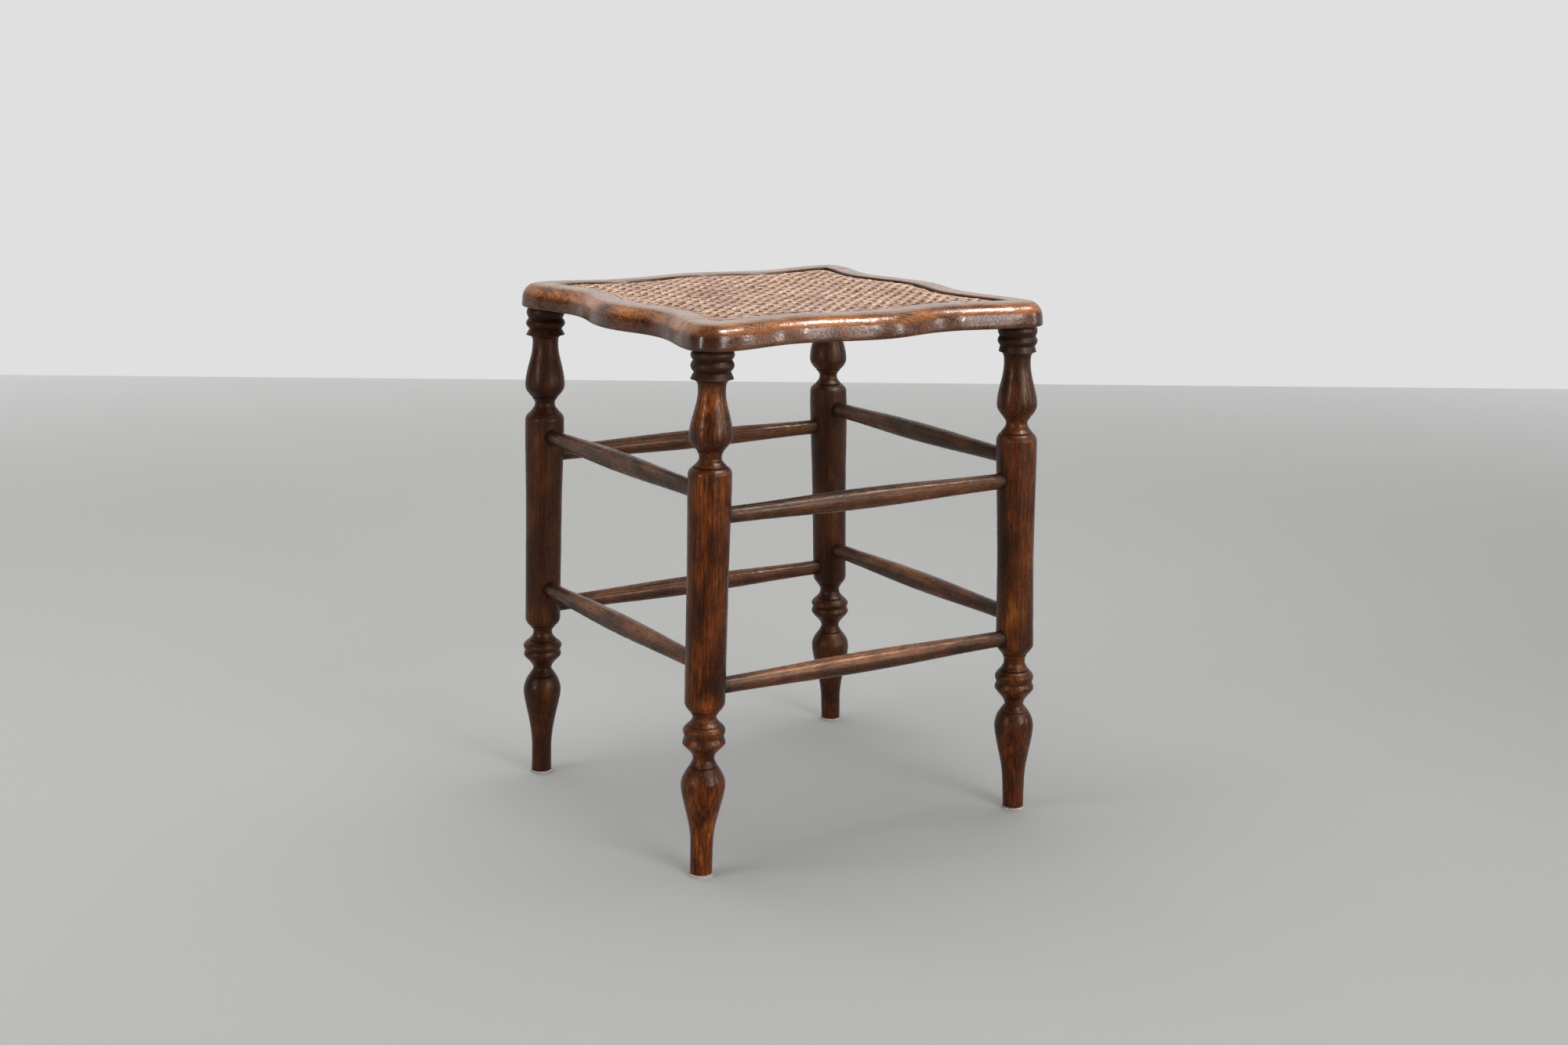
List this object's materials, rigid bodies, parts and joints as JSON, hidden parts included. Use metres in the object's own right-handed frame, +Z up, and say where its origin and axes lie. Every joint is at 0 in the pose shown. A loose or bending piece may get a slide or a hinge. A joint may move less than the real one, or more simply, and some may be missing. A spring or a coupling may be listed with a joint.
{
  "type": "cane seat stool",
  "caption": "Square stool with a wave-edged wooden seat frame, a woven cane panel, turned splayed legs and round stretchers on two levels.",
  "frame": {"origin": "on the floor, under the middle of the seat", "axes": "+X to the right along the front rail, +Y from front to back, +Z up"},
  "size_m": [0.355, 0.345, 0.46],
  "materials": {
    "seat_oak": "worn dark stain and varnish, satin",
    "dowel_oak": "bare",
    "dark_oak": "dark stain and varnish, glossy",
    "stretcher_oak": "dark stain and varnish, worn on top",
    "cane": "woven rattan cane, satin",
    "binder_cane": "flat rattan cane, satin",
    "pad_felt": "pale felt"
  },
  "bodies": {
    "root": {"front_rail": "seat_oak", "back_rail": "seat_oak", "left_rail": "seat_oak", "right_rail": "seat_oak", "dowel_front_left_inner": "dowel_oak", "dowel_front_left_outer": "dowel_oak", "dowel_front_right_inner": "dowel_oak", "dowel_front_right_outer": "dowel_oak", "dowel_back_left_inner": "dowel_oak", "dowel_back_left_outer": "dowel_oak", "dowel_back_right_inner": "dowel_oak", "dowel_back_right_outer": "dowel_oak", "cane_panel": "cane", "cane_binder": "binder_cane", "leg_front_left": "dark_oak", "leg_front_right": "dark_oak", "leg_back_left": "dark_oak", "leg_back_right": "dark_oak", "stretcher_front_lower": "stretcher_oak", "stretcher_front_upper": "stretcher_oak", "stretcher_back_lower": "stretcher_oak", "stretcher_back_upper": "stretcher_oak", "stretcher_left_lower": "stretcher_oak", "stretcher_left_upper": "stretcher_oak", "stretcher_right_lower": "stretcher_oak", "stretcher_right_upper": "stretcher_oak", "foot_pad_front_left": "pad_felt", "foot_pad_front_right": "pad_felt", "foot_pad_back_left": "pad_felt", "foot_pad_back_right": "pad_felt"}
  },
  "joints": []
}
